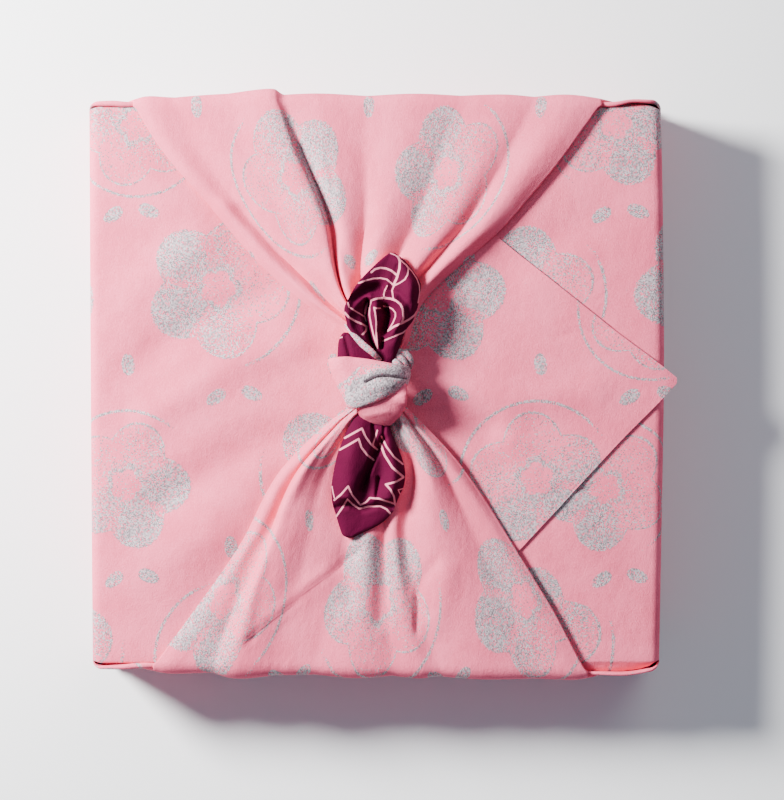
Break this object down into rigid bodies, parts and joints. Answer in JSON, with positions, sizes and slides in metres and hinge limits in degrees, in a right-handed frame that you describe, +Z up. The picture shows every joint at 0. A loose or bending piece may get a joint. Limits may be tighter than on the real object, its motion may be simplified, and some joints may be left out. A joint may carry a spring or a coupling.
{
  "type": "furoshiki wrap",
  "caption": "Square cotton cloth folded round a flat square shape and tied on its face in a square knot, with a leaf-shaped tail above and below the knot.",
  "frame": {"origin": "centre of the flat underside that the parcel rests on", "axes": "+Z up out of the knotted face, +Y from the knot towards the upper end sheet, +X towards the right side, where the crossing flap's corner ends"},
  "size_m": [0.2974, 0.2977, 0.0738],
  "materials": {
    "pink_cotton": "matt cotton, printed on its face in silver grey, plum on its reverse"
  },
  "bodies": {
    "root": {"wrap_cloth": "pink_cotton"}
  },
  "joints": []
}
